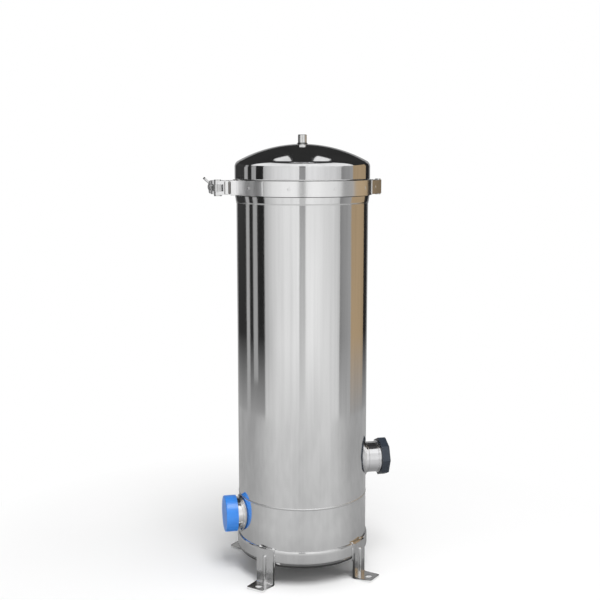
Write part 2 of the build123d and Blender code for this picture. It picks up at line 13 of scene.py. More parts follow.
import bmesh
import bpy
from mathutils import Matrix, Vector


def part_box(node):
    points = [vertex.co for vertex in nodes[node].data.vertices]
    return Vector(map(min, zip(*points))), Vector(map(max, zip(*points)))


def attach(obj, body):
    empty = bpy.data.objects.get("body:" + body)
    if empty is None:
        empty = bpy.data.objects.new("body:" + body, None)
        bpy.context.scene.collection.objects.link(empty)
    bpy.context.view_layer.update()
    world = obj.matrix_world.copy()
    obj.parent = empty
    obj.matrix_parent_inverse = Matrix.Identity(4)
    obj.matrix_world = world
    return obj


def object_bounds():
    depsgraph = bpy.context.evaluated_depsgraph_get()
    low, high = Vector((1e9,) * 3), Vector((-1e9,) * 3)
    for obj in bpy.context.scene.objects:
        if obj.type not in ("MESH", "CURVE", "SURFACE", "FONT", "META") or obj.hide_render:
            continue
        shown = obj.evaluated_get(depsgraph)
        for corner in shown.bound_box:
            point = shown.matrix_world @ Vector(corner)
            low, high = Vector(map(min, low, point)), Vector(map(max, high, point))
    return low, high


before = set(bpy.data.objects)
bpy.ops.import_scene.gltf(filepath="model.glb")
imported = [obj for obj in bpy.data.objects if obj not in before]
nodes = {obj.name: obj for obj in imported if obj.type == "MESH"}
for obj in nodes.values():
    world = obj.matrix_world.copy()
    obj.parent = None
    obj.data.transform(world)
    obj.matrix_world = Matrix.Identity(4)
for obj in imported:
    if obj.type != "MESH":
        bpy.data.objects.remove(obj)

size_after_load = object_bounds()
print("the vessel stands from", tuple(round(v, 4) for v in size_after_load[0]),
      "to", tuple(round(v, 4) for v in size_after_load[1]))

# %% [markdown]
# ## The camera
# A product picture of a tall vessel is taken from about the height of its lid,
# looking slightly down, with a longish lens, so that its sides stay nearly
# parallel. The vessel's axis is the z axis
# of the frame, so the camera's place is a distance from that axis and an angle
# round it. The view is turned a fraction of a degree off the axis, which only
# sets how the vessel sits in the frame.

# %% Place the camera
camera_distance, camera_height = 1.556, 0.647
camera_bearing = math.radians(-102.5)
camera_tilt, camera_turn = math.radians(81.8), math.radians(-12.37)
camera_data = bpy.data.cameras.new("camera")
camera_data.lens = 61.1
camera_data.sensor_width = 36.0
camera = bpy.data.objects.new("camera", camera_data)
camera.location = (camera_distance * math.cos(camera_bearing),
                   camera_distance * math.sin(camera_bearing), camera_height)
camera.rotation_euler = (camera_tilt, 0.0, camera_turn)
bpy.context.scene.collection.objects.link(camera)
bpy.context.scene.camera = camera
bpy.context.scene.view_settings.view_transform = "Standard"
print("camera at", tuple(round(v, 3) for v in camera.location))

# %% [markdown]
# ## Shader maths as plain expressions
# A finish is a small sum: some noise, scaled, added to a base value. Wiring that
# by hand takes many lines and hides the sum. So one small class wraps an output
# socket and gives it plus and times, and each use adds a Math node. Everything
# else, such as a noise or a bump, comes from one method that takes the node's
# type, its settings and what goes into its sockets.

# %% A socket that can be reckoned with
class Wire:
    """An output socket of a finish, with arithmetic that adds Math nodes."""

    def __init__(self, finish, socket):
        self.finish = finish
        self.socket = socket

    def maths(self, operation, first, second=0.0):
        return self.finish.add("ShaderNodeMath", {"operation": operation}, {0: first, 1: second})

    def __add__(self, other):
        return self.maths("ADD", self, other)

    def __radd__(self, other):
        return self.maths("ADD", other, self)

    def __mul__(self, other):
        return self.maths("MULTIPLY", self, other)

    def __rmul__(self, other):
        return self.maths("MULTIPLY", other, self)


print("a wire can be added and multiplied")

# %% A finish and its one method for nodes
class Finish:
    """A material under construction: its nodes, and the shader that they feed."""

    def __init__(self, name, **constants):
        self.material = bpy.data.materials.new(name)
        self.material.use_nodes = True
        self.tree = self.material.node_tree
        self.shader = self.tree.nodes["Principled BSDF"]
        self.place = self.add("ShaderNodeTexCoord", out="Object")
        for socket, value in constants.items():
            self.shader.inputs[socket.replace("_", " ")].default_value = value

    def add(self, kind, settings=None, sockets=None, out=0):
        node = self.tree.nodes.new(kind)
        for key, value in (settings or {}).items():
            setattr(node, key, value)
        for key, value in (sockets or {}).items():
            if isinstance(value, Wire):
                self.tree.links.new(value.socket, node.inputs[key])
            else:
                node.inputs[key].default_value = value
        return Wire(self, node.outputs[out])

    def feed(self, **wires):
        for socket, wire in wires.items():
            self.tree.links.new(wire.socket, self.shader.inputs[socket.replace("_", " ")])

    def show(self, wire, output="Material Output"):
        self.tree.links.new(wire.socket, self.tree.nodes[output].inputs["Surface"])


print("a finish starts from", bpy.app.version_string, "Principled BSDF")

# %% [markdown]
# ## The few patterns that every finish uses
# Metal is never even. Polishing leaves fine lines that run round the vessel,
# handling leaves soft clouds, and rolling leaves the sheet very slightly wavy.
# All three are noise, stretched along one direction or another. The object
# coordinates of a node are the frame's own metres, so a scale of 1000 means one
# millimetre, and the pattern rides with the piece when a joint moves.

# %% Stretched noise, colour mixes and bumps
def stretched(finish, per_metre, detail=2.0, rough=0.5, place=None):
    """Noise whose grain is 1 / per_metre along each axis."""
    scaled = finish.add("ShaderNodeVectorMath", {"operation": "MULTIPLY"},
                        {0: place or finish.place, 1: per_metre})
    return finish.add("ShaderNodeTexNoise", {}, {"Vector": scaled, "Scale": 1.0, "Detail": detail,
                                                 "Roughness": rough}, out="Fac")


def blended(finish, share, first, second):
    """A colour between two colours."""
    as_colour = [c if isinstance(c, Wire) else (*c, 1.0) for c in (first, second)]
    return finish.add("ShaderNodeMix", {"data_type": "RGBA"},
                      {0: share, 6: as_colour[0], 7: as_colour[1]}, out=2)


def clamped(finish, value, low, high):
    """A value moved from the range low..high to 0..1, and held there."""
    return finish.add("ShaderNodeMapRange", {"clamp": True},
                      {"Value": value, "From Min": low, "From Max": high,
                       "To Min": 0.0, "To Max": 1.0})


def bumped(finish, height, strength, distance, under=None):
    """A bump from a height, laid over another bump if there is one."""
    sockets = {"Height": height, "Strength": strength, "Distance": distance}
    if under is not None:
        sockets["Normal"] = under
    return finish.add("ShaderNodeBump", {}, sockets, out="Normal")


def shades(tint, darker, lighter, lift=0.0):
    """A darker and a lighter shade of one tint."""
    return [c * darker for c in tint], [min(1.0, c * lighter + lift) for c in tint]


def grey(level):
    return (level, level, level)


print("patterns: noise, mix, range and bump")


# %% [markdown]
# ## Polished steel
# The shell, the lid and the clamp are polished stainless steel, close to a
# mirror. It could be a metal with a roughness of nothing, but then it looks like
# chrome. So there are polishing lines round the vessel, a little wiping haze that
# makes the roughness vary, and a very low waviness that bends the reflections.
# The colour is a neutral grey, a little lighter or darker from piece to piece.

# %% Make the polished finish
def polished(name, tint, gloss, waviness, line_depth, streaky=0.05):
    finish = Finish(name, Metallic=1.0, IOR=2.6)
    lines = stretched(finish, (9.0, 9.0, 2600.0), detail=3.0, rough=0.65)
    strokes = stretched(finish, (260.0, 260.0, 5.0), detail=4.0, rough=0.6)
    haze = stretched(finish, (14.0, 14.0, 7.0), detail=3.0)
    scuffs = clamped(finish, stretched(finish, (60.0, 60.0, 420.0), detail=4.0, rough=0.7), 0.64, 0.88)
    roll = stretched(finish, (7.0, 7.0, 2.6), detail=1.0)
    dents = stretched(finish, (34.0, 34.0, 11.0), detail=1.0)
    shade = blended(finish, haze * 0.4 + strokes * 0.4 + lines * 0.2, *shades(tint, 0.90, 1.08))
    finish.feed(Base_Color=shade,
                Roughness=gloss + lines * 0.03 + strokes * streaky + haze * 0.03 + scuffs * 0.08,
                Normal=bumped(finish, lines, 0.10, line_depth,
                              under=bumped(finish, roll + dents * 0.06, 0.40, waviness)))
    print("polished finish", name, "roughness from", gloss, "to", round(gloss + 0.14 + streaky, 3))
    return finish.material


shell_steel = polished("shell_steel", (0.82, 0.82, 0.82), 0.035, 0.0030, 0.00002)
dome_steel = polished("dome_steel", (0.80, 0.80, 0.805), 0.025, 0.0016, 0.00001, streaky=0.03)
clamp_steel = polished("clamp_steel", (0.95, 0.95, 0.95), 0.15, 0.0008, 0.00003, streaky=0.04)
ferrule_steel = polished("ferrule_steel", (0.92, 0.92, 0.92), 0.10, 0.0010, 0.00003, streaky=0.05)
head_steel = polished("head_steel", (0.80, 0.80, 0.80), 0.06, 0.0012, 0.000008)
# the next finish is a near-black steel: painted shade for the folds of the front ear
fold_shade_weld = polished("fold_shade_weld", (0.24, 0.23, 0.22), 0.22, 0.0010, 0.00003)
ear_steel = polished("ear_steel", (0.94, 0.94, 0.95), 0.24, 0.0012, 0.00002)
worn_seam = polished("worn_seam", (0.72, 0.72, 0.72), 0.30, 0.0010, 0.00003)
seam_steel = polished("seam_steel", (0.84, 0.84, 0.835), 0.10, 0.0010, 0.00006)

# %% [markdown]
# ## Satin steel
# The legs and the inner plates are not polished. They keep the mill surface, with
# short streaks from a flap wheel and small dents from the press. It could be one
# even roughness, but then a pressed leg looks cast. The grain runs up and down on
# the legs, so it is noise stretched along z.

# %% Make the satin finish
def satin(name, tint, grain, gloss):
    finish = Finish(name, Metallic=1.0, IOR=2.5)
    streaks = stretched(finish, grain, detail=4.0, rough=0.6)
    mottle = stretched(finish, (55.0, 55.0, 55.0), detail=4.0)
    pits = stretched(finish, (900.0, 900.0, 900.0), detail=2.0)
    shade = blended(finish, mottle * 0.6 + streaks * 0.4, *shades(tint, 0.84, 1.10))
    finish.feed(Base_Color=shade,
                Roughness=gloss + streaks * 0.10 + mottle * 0.10,
                Normal=bumped(finish, streaks + pits * 0.5, 0.12, 0.00003,
                              under=bumped(finish, mottle, 0.3, 0.0006)))
    print("satin finish", name)
    return finish.material


leg_steel = satin("leg_steel", (0.80, 0.80, 0.80), (900.0, 900.0, 40.0), 0.09)
plate_steel = satin("plate_steel", (0.60, 0.59, 0.58), (700.0, 30.0, 30.0), 0.22)

# %% [markdown]
# ## Turned steel
# Ports, pins, bolt and nut are machined bright steel. A lathe tool leaves rings
# round the axis of each port, so the noise changes fast along the x axis there,
# along z on the pins, and evenly in all directions on the bolt and the nut.

# %% Make the turned finishes
def turned(name, grain, gloss, tint=(0.80, 0.80, 0.79)):
    finish = Finish(name, Metallic=1.0, IOR=2.6)
    rings = stretched(finish, grain, detail=2.0, rough=0.6)
    handling = stretched(finish, (120.0, 120.0, 120.0), detail=3.0)
    shade = blended(finish, handling * 0.5 + rings * 0.5, *shades(tint, 0.88, 1.08))
    finish.feed(Base_Color=shade, Roughness=gloss + handling * 0.08 + rings * 0.06,
                Normal=bumped(finish, rings, 0.15, 0.00002))
    return finish.material


port_steel = turned("port_steel", (900.0, 20.0, 20.0), 0.02, tint=(0.88, 0.88, 0.89))
pin_steel = turned("pin_steel", (60.0, 60.0, 1500.0), 0.14)
nut_steel = turned("nut_steel", (300.0, 300.0, 300.0), 0.09, tint=(0.70, 0.70, 0.70))
print("turned finishes made")

# %% [markdown]
# ## Moulded plastic caps
# The outlet cap is a soft blue plastic and the inlet cap a dull black one. A
# plain colour would look painted. Moulded plastic has a very fine skin, a faint
# cloudiness and scuffs where it has been rubbed, and the gasket is made alike.

# %% Make the plastic finishes
def moulded(name, tint, deep, gloss):
    finish = Finish(name, Metallic=0.0, IOR=1.5)
    skin = stretched(finish, (2200.0, 2200.0, 2200.0), detail=2.0)
    cloud = stretched(finish, (70.0, 70.0, 70.0), detail=3.0)
    rubbed = clamped(finish, stretched(finish, (240.0, 240.0, 60.0), detail=4.0, rough=0.7), 0.60, 0.80)
    worn = shades(tint, 1.0, 1.2, lift=0.02)[1]
    finish.feed(Base_Color=blended(finish, rubbed * 0.5, blended(finish, cloud, deep, tint), worn),
                Roughness=gloss + cloud * 0.08 + rubbed * 0.15,
                Normal=bumped(finish, skin, 0.12, 0.00006))
    print("plastic finish", name)
    return finish.material


blue_plastic = moulded("blue_plastic", (0.050, 0.290, 0.86), (0.030, 0.215, 0.74), 0.26)
black_plastic = moulded("black_plastic", (0.030, 0.042, 0.060), (0.018, 0.024, 0.034), 0.30)
seal_rubber = moulded("seal_rubber", (0.028, 0.028, 0.030), (0.016, 0.016, 0.017), 0.55)

# %% [markdown]
# ## The filter cartridges
# They stand inside the vessel and show only through an open port. Spun
# polypropylene is a soft off-white, with shallow windings round its length.

# %% Make the cartridge finish
def spun(name):
    finish = Finish(name, Metallic=0.0, Sheen_Weight=0.2)
    windings = stretched(finish, (60.0, 60.0, 420.0), detail=2.0)
    fibre = stretched(finish, (1500.0, 1500.0, 500.0), detail=3.0, rough=0.7)
    wound = windings * 0.6 + fibre * 0.4
    finish.feed(Base_Color=blended(finish, wound, (0.66, 0.65, 0.61), (0.84, 0.83, 0.80)),
                Roughness=0.80 + fibre * 0.15,
                Normal=bumped(finish, wound, 0.6, 0.0006))
    print("cartridge finish", name)
    return finish.material


filter_media = spun("filter_media")

# %% [markdown]
# ## Which solid gets which finish
# Each solid of the vessel is one part in the maker's list, so one table from
# part to finish is enough. It could be done by hand in the material slots, but a
# table can be read and checked, and it says at once when a part is missing.

# %% Give every solid its finish
finish_of = {
    "bottom_head": head_steel, "lower_shell": shell_steel, "upper_shell": shell_steel,
    "seam_weld": worn_seam, "tube_sheet": plate_steel, "shell_ferrule": shell_steel,
    "lid_ferrule": ferrule_steel, "lid_gasket": seal_rubber, "lid_dome": dome_steel,
    "vent_socket": pin_steel, "inlet_nozzle": port_steel, "outlet_nozzle": port_steel,
    "inlet_weld": seam_steel, "outlet_weld": seam_steel,
    "inlet_cap": black_plastic, "outlet_cap": blue_plastic,
    "hold_down_plate": plate_steel, "tie_rod": plate_steel,
    "rod_washer": plate_steel, "rod_nut": plate_steel,
    "strap_front": clamp_steel, "strap_rear": clamp_steel,
    "v_segment_front": clamp_steel, "v_segment_rear": clamp_steel,
    "ear_front": ear_steel, "ear_rear": ear_steel,
    "hinge_pin": pin_steel, "pivot_pin": pin_steel,
    "swing_bolt": nut_steel, "saddle_washer": nut_steel, "wing_nut": nut_steel,
}
for number in range(1, 5):
    finish_of[f"leg_{number}"] = leg_steel
for number in range(1, 6):
    finish_of[f"cartridge_{number}"] = filter_media
for name, solid in nodes.items():
    for solid_slot in solid.material_slots:
        solid_slot.material = finish_of[name]
print("finished solids:", len(nodes), "missing:", sorted(set(nodes) - set(finish_of)))

# %% [markdown]
# ## Small work on the steel
# A fabricated vessel carries marks of its making: weld beads round the ports and
# down the legs, spot welds where the clamp's wedge segments are fixed under the
# strap, and thread on the pipe ends and on the bolt. A bump in the finish could
# stand for them, but it has no outline. So each is a mesh, and since every one is
# a line, a rise or a plate, three small functions make all their shapes.

# %% What every small piece needs
made = []


def finished(name, mesh, shape, body, finish, flat_over=1.0):
    """Closes a mesh, finishes it and lets it ride on its body; faces over flat_over stay flat."""
    bmesh.ops.recalc_face_normals(shape, faces=shape.faces)
    for face in shape.faces:
        face.smooth = face.calc_area() < flat_over
    shape.to_mesh(mesh)
    shape.free()
    piece = bpy.data.objects.new(name, mesh)
    bpy.context.scene.collection.objects.link(piece)
    piece.data.materials.append(finish)
    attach(piece, body)
    made.append(name)
    return piece


def around(side, over, part, whole):
    """The way from the middle of a circle to its point number part of whole."""
    turn = 2 * math.pi * part / whole
    return side * math.cos(turn) + over * math.sin(turn)


# %% [markdown]
# ## A bead
# A bead of weld, a turn of thread and a rod are all a round section carried along
# a line. A curve with a bevel could do it, but a mesh lets the section swell and
# shrink on the way: weld ripples, because the metal freezes in small waves, and
# an open bead thins out at both ends.

# %% A bead: a round section carried along a line
def bead(name, line, radius, body, finish, closed=False, ripple=0.0, waves=0.0, sides=10):
    mesh = bpy.data.meshes.new(name)
    shape = bmesh.new()
    loops, count, run, side = [], len(line), 0.0, None
    for k, point in enumerate(line):
        before = line[k - 1] if closed or k else line[0]
        after = line[(k + 1) % count] if closed or k + 1 < count else line[-1]
        ahead_of = (after - before).normalized()
        if side is None:
            side = ahead_of.orthogonal()
        side = (side - ahead_of * side.dot(ahead_of)).normalized()
        over = ahead_of.cross(side)
        run += (point - before).length
        end = 1.0 if closed else min(1.0, 0.35 + 8.8 * min(k, count - 1 - k) / count)
        thick = radius * end * (1.0 + ripple * math.sin(run * waves))
        loops.append([shape.verts.new(point + around(side, over, t, sides) * thick)
                      for t in range(sides)])
    for first, second in zip(loops, loops[1:] + (loops[:1] if closed else [])):
        shift = 0
        if closed and second is loops[0]:
            shift = min(range(sides), key=lambda t: (second[t].co - first[0].co).length)
        for t in range(sides):
            shape.faces.new((first[t], first[(t + 1) % sides],
                             second[(t + 1 + shift) % sides], second[(t + shift) % sides]))
    if not closed:
        shape.faces.new(loops[0][::-1])
        shape.faces.new(loops[-1])
    return finished(name, mesh, shape, body, finish)


def round_line(centre, radius, axis, count=128):
    """Points of a circle round the x, y or z axis."""
    side, over = {"x": ((0, 1, 0), (0, 0, 1)), "y": ((1, 0, 0), (0, 0, 1)), "z": ((1, 0, 0), (0, 1, 0))}[axis]
    return [Vector(centre) + around(Vector(side), Vector(over), k, count) * radius for k in range(count)]


print("a round line of 128 points is", len(round_line((0.0, 0.0, 0.0), 1.0, "z")), "long")

# %% [markdown]
# ## A button
# A spot weld is a low round rise with a dip in its middle, left by the tip of the
# electrode, and a drop of weld on a corner is the same without the dip. A squashed
# sphere would do for the drop. A few rings of one profile do for both.

# %% A button: a low round rise that lies on a surface
def button(name, centre, outward, radius, height, body, finish, dip=0.0):
    mesh = bpy.data.meshes.new(name)
    shape = bmesh.new()
    outward = Vector(outward).normalized()
    side = outward.orthogonal().normalized()
    over = outward.cross(side)
    sides, rings = 20, []
    profile = [(1.0, -0.4), (0.96, 0.25), (0.86, 0.72), (0.70, 1.0),
               (0.48, 1.0 - dip * 0.6), (0.24, 1.0 - dip)]
    for share, lift in profile:
        middle = Vector(centre) + outward * height * lift
        rings.append([shape.verts.new(middle + around(side, over, t, sides) * radius * share)
                      for t in range(sides)])
    for first, second in zip(rings, rings[1:]):
        for t in range(sides):
            shape.faces.new((first[t], first[(t + 1) % sides],
                             second[(t + 1) % sides], second[t]))
    shape.faces.new(rings[0][::-1])
    shape.faces.new(rings[-1])
    return finished(name, mesh, shape, body, finish)


print("a button has 6 rings of 20 sides")

# %% [markdown]
# ## A plate
# A pressed plate has edges rounded by the press. A box with sharp edges catches
# no light on them and looks cut from paper, so the box gets a small bevel, and
# its large faces are kept flat so that they don't look like a cushion.

# %% A plate with rounded edges, standing between two points seen from above
def plate(name, start, end, low, high, thick, body, finish, edge):
    mesh = bpy.data.meshes.new(name)
    shape = bmesh.new()
    start, end = Vector((*start, 0.0)), Vector((*end, 0.0))
    across = Vector((0.0, 0.0, 1.0)).cross(end - start).normalized() * thick / 2.0
    corners = [start - across, end - across, end + across, start + across]
    bottom = [shape.verts.new((c.x, c.y, low)) for c in corners]
    top = [shape.verts.new((c.x, c.y, high)) for c in corners]
    shape.faces.new(bottom[::-1])
    shape.faces.new(top)
    for k in range(4):
        shape.faces.new((bottom[k], bottom[(k + 1) % 4], top[(k + 1) % 4], top[k]))
    bmesh.ops.bevel(shape, geom=list(shape.edges), offset=edge, segments=3,
                    profile=0.5, affect="EDGES")
    largest_round = max(4.0 * edge * thick, 0.000012)
    return finished(name, mesh, shape, body, finish, flat_over=largest_round)


print("a plate has 8 corners before its edges are rounded")

# %% [markdown]
# ## The two ports
# Each port is a pipe end welded into the shell. The weld's seat follows the
# saddle line where a pipe meets a round wall: it lies on the shell, so it reaches
# less far out at both sides of the pipe. The thread that shows beside each cap
# is a few fine rings, which is simpler than a helix and looks alike at this size.

# %% Beads and thread on the two ports
shell_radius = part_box("lower_shell")[1][0]
pipe_bead = 0.0012
thread_pitch = 0.0017
for port, way, bare, thread_count in (("outlet", -1.0, 0.0006, 2), ("inlet", 1.0, 0.0013, 3)):
    low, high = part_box(port + "_nozzle")
    pipe, height = high[1] - pipe_bead, (low[2] + high[2]) / 2.0
    weld_low, weld_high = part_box(port + "_weld")
    collar = (weld_high[1] - weld_low[1]) / 2.0
    seat = []
    for k in range(160):
        across, up = (collar * wave(2 * math.pi * k / 160) for wave in (math.cos, math.sin))
        reach = math.sqrt(shell_radius ** 2 - across ** 2) + 0.0002
        seat.append(Vector((way * reach, across, height + up)))
    bead(port + "_seat_bead", seat, 0.0009, "housing", seam_steel,
         closed=True, ripple=0.16, waves=3200.0)
    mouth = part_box(port + "_cap")[1 if way < 0 else 0][0]
    for number in range(thread_count):
        place = mouth - way * (bare + number * thread_pitch)
        bead(f"{port}_thread_{number}", round_line((place, 0.0, height), pipe, "x"), 0.0004,
             "housing", port_steel, closed=True)
    print(port, "pipe radius", round(pipe, 5), "weld radius", round(collar, 5))
step_place = (weld_high[0] + 0.0020, 0.0, height)
bead("inlet_step", round_line(step_place, pipe, "x"), 0.0006, "housing", port_steel, closed=True)

# %% [markdown]
# ## Fine beads round the vessel
# Where the collar sits on the shell and the dome on its rim, a thin bead of weld
# was left after polishing. It is hardly a millimetre high, but it draws a crisp
# line of light round the whole vessel.

# %% Fine beads where collar, shell and lid meet
collar_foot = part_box("shell_ferrule")[0][2] - 0.0002
bead("collar_bead", round_line((0.0, 0.0, collar_foot), shell_radius + 0.0001, "z", 256), 0.00055,
     "housing", seam_steel, closed=True, ripple=0.10, waves=2600.0)
(_, _, lid_foot), (lid_radius, _, _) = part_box("lid_dome")
bead("lid_bead", round_line((0.0, 0.0, lid_foot), lid_radius, "z", 256), 0.00030,
     "housing", seam_steel, closed=True, ripple=0.12, waves=2600.0)
print("fine beads at heights", round(collar_foot, 4), "and", round(lid_foot, 4))

# %% [markdown]
# ## Spot welds on the clamp
# The strap pulls two wedge-shaped segments over the rims. Each segment is fixed
# under its strap by four spot welds, which show as small dimples outside. The
# first one lies on the ear's lap, which is one sheet further out.

# %% Spot welds that hold the wedge segments under the strap
strap_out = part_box("strap_rear")[1][1]
strap_low, strap_high = (corner[2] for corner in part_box("strap_front"))
strap_mid = (strap_low + strap_high) / 2.0
halves = (("front", "clamp_front", -1.0), ("rear", "clamp_rear", 1.0))
first_spot, spot_step, ear_sheet = 149.5, 36.5, 0.0016
for half, body, way in halves:
    for number in range(4):
        turn = math.radians(way * (first_spot - spot_step * number))
        out = Vector((math.cos(turn), math.sin(turn), 0.0))
        proud = strap_out + (ear_sheet if number == 0 else 0.0) - 0.00005
        button(f"spot_weld_{half}_{number}", out * proud + Vector((0.0, 0.0, strap_mid)), out,
               0.0026, 0.00035, body, clamp_steel, dip=0.9)
print("strap from", round(strap_low, 4), "to", round(strap_high, 4))

# %% [markdown]
# ## Welds on the legs
# Each leg is welded down both edges where it crosses the bottom head, with a drop
# of weld on each upper corner. The beads are open, so they thin out at the ends.

# %% Weld beads and corner blobs on the legs
head_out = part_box("bottom_head")[1][0]
leg_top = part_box("leg_1")[1][2]
leg_half, blob_half, bead_foot, bead_step = 0.0151, 0.0118, 0.0275, 0.0011
for number, polar in enumerate((45.0, 135.0, 225.0, 315.0), start=1):
    turn = math.radians(polar)
    out = Vector((math.cos(turn), math.sin(turn), 0.0))
    along = Vector((-math.sin(turn), math.cos(turn), 0.0))
    for side_name, way in (("left", -1.0), ("right", 1.0)):
        edge = along * way * leg_half + out * math.sqrt(head_out ** 2 - leg_half ** 2)
        rise = [edge + Vector((0.0, 0.0, bead_foot + bead_step * k)) for k in range(21)]
        bead(f"leg_{number}_bead_{side_name}", rise, 0.0011,
             "housing", leg_steel, ripple=0.2, waves=2400.0, sides=8)
        corner = along * way * blob_half + out * (head_out - 0.0034)
        button(f"leg_{number}_blob_{side_name}", corner + Vector((0.0, 0.0, leg_top - 0.0006)),
               out + Vector((0.0, 0.0, 0.9)), 0.0032, 0.0016, "housing", leg_steel)
print("leg welds from", bead_foot, "to", round(bead_foot + 20 * bead_step, 4))

# %% [markdown]
# ## Thread on the swing bolt
# The bolt is 8 mm thick with 1.25 mm of pitch. Its thread is one long thin bead
# wound into a helix, which is how a thread is cut, only raised and not sunk.

# %% Thread on the swing bolt
pin_low, pin_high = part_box("pivot_pin")
pin_x, pin_y = (round((pin_low[axis] + pin_high[axis]) / 2.0, 4) for axis in (0, 1))
bolt_low, bolt_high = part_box("swing_bolt")
bolt_x, bolt_z = (bolt_low[0] + bolt_high[0]) / 2.0, (bolt_low[2] + bolt_high[2]) / 2.0
turn_count, bolt_pitch, thread_start = 19, 0.00125, pin_y + 0.0156
turns = []
for k in range(16 * turn_count):
    sweep = around(Vector((1.0, 0.0, 0.0)), Vector((0.0, 0.0, 1.0)), k, 16) * 0.0039
    turns.append(Vector((bolt_x, thread_start + bolt_pitch * k / 16, bolt_z)) + sweep)
bead("bolt_thread", turns, 0.00032, "bolt", nut_steel, sides=6)
print("thread turns on the bolt:", turn_count)

# %% [markdown]
# ## Plates on the front ear
# The front ear is folded from strip. Where the strip turns away from the strap it lies double,
# and a weld closes each fold; its near-black tint is painted shade in the fold. The places are
# counted from the pivot pin, because the ear is folded round it.

# %% Two plates and two weld lines on the front ear
face = pin_y - 0.0056
plate("ear_fold_plate", (pin_x + 0.0184, face - 0.0007), (pin_x + 0.0276, face - 0.0007),
      strap_low, strap_high, 0.0026, "clamp_front", clamp_steel, 0.0009)
plate("ear_doubler", (pin_x + 0.0102, face - 0.0002), (pin_x + 0.0152, face - 0.0002),
      strap_low + 0.0012, strap_high - 0.0012, 0.0018, "clamp_front", clamp_steel, 0.0006)
# the two weld lines get the near-black steel, which is painted shade in the folds
for name, inward, radius in (("ear_fold_seam", 0.0168, 0.0017), ("ear_doubler_seam", 0.0100, 0.0008)):
    rise = [Vector((pin_x + inward, face + 0.0001, strap_low + 0.0016 + 0.0012 * k)) for k in range(17)]
    bead(name, rise, radius, "clamp_front", fold_shade_weld, sides=12, ripple=0.08, waves=2400.0)
print("ear plates stand at y", round(face, 4))

# %% [markdown]
# ## Leaves of the hinge
# The hinge's eyes are carried by a leaf on each half of the clamp, welded on the
# end of the strap. The leaf leaves the strap at an angle and meets the eye.

# %% Leaves that carry the hinge, welded on each end of the strap
hinge_low, hinge_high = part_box("hinge_pin")
hinge_x = (hinge_low[0] + hinge_high[0]) / 2.0
lap = math.radians(21.0)
for half, body, way in halves:
    foot = (strap_out * math.cos(lap), way * strap_out * math.sin(lap))
    tip = (hinge_x + 0.0030, way * 0.0066)
    plate(f"hinge_leaf_{half}", foot, tip, strap_low + 0.0006, strap_high - 0.0006, 0.0015,
          body, clamp_steel, 0.0005)
    middle = Vector((foot[0] * 0.6 + tip[0] * 0.4, foot[1] * 0.6 + tip[1] * 0.4, strap_mid))
    normal = Vector((abs(foot[1] - tip[1]), way * (tip[0] - foot[0]), 0.0)).normalized()
    button(f"hinge_leaf_spot_{half}", middle + normal * 0.00070, normal, 0.0022, 0.0003,
           body, clamp_steel, dip=0.8)
print("hinge pin at x", round(hinge_x, 4))

# %% [markdown]
# ## The wing nut
# A forged wing nut has a round hub and two thick wings that lean outward. The
# solid has thin flat wings, so a ring is laid round its hub and a thick rod along
# each wing, which gives them the rounded back that a thumb pushes on.

# %% Thick wings and a round hub on the wing nut
nut_low, nut_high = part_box("wing_nut")
nut_x, nut_z = (nut_low[0] + nut_high[0]) / 2.0, (nut_low[2] + nut_high[2]) / 2.0
hub_line = round_line((nut_x, nut_low[1] + 0.0052, nut_z), 0.0062, "y", 64)
bead("nut_hub", hub_line, 0.0026, "nut", nut_steel, closed=True, sides=16)
wing_root, wing_reach, wing_foot, wing_rise, slant = 0.0060, 0.0132, 0.0045, 0.0100, 0.707
for number, way in enumerate((1.0, -1.0)):
    wing = []
    for share in (k / 12.0 for k in range(13)):
        reach = way * (wing_root + wing_reach * share) * slant
        lift = nut_low[1] + wing_foot + wing_rise * share ** 1.4
        wing.append(Vector((nut_x - reach, lift, nut_z + reach)))
    bead(f"nut_wing_{number}", wing, 0.0017, "nut", nut_steel, sides=12)
print("small pieces:", len(made))

# %% [markdown]
# ## The floor
# One plain pale sheet, large enough that its edge is never seen. A soft curve up
# at the back would show as a band in the steel, so the floor just runs out into
# a pale world. Close to the vessel it is paint that takes the shadow, and further
# out it fades to white where the camera or a reflection looks at it.

# %% Lay the floor
def seen_rays_of(finish):
    """One for a ray from the camera or by way of a mirror or glass, otherwise nothing."""
    camera_ray, glossy_ray, clear_ray = (finish.add("ShaderNodeLightPath", out=f"Is {kind} Ray")
                                         for kind in ("Camera", "Glossy", "Transmission"))
    return camera_ray.maths("MAXIMUM", camera_ray.maths("MAXIMUM", camera_ray, glossy_ray), clear_ray)


floor_half, floor_drop, fade_start, fade_end = 12.0, 0.0004, 0.16, 0.62
floor_mesh = bpy.data.meshes.new("floor")
floor_shape = bmesh.new()
bmesh.ops.create_grid(floor_shape, x_segments=8, y_segments=8, size=floor_half)
floor_shape.to_mesh(floor_mesh)
floor_shape.free()
floor = bpy.data.objects.new("floor", floor_mesh)
bpy.context.scene.collection.objects.link(floor)
floor.location.z = size_after_load[0][2] - floor_drop
paint = Finish("floor_paint", Metallic=0.0)
cloud = stretched(paint, (3.0, 3.0, 3.0), detail=2.0)
paint.feed(Base_Color=blended(paint, cloud, grey(0.88), grey(0.91)), Roughness=0.75 + cloud * 0.1)
away = paint.add("ShaderNodeVectorMath", {"operation": "LENGTH"}, {0: paint.place}, out="Value")
pale = paint.add("ShaderNodeEmission", {}, {"Color": (1.0, 1.0, 1.0, 1.0), "Strength": 1.0})
share = clamped(paint, away, fade_start, fade_end) * seen_rays_of(paint)
paint.show(paint.add("ShaderNodeMixShader", {},
                     {0: share, 1: Wire(paint, paint.shader.outputs["BSDF"]), 2: pale}))
floor.data.materials.append(paint.material)
print("floor", tuple(round(v, 2) for v in floor.dimensions))

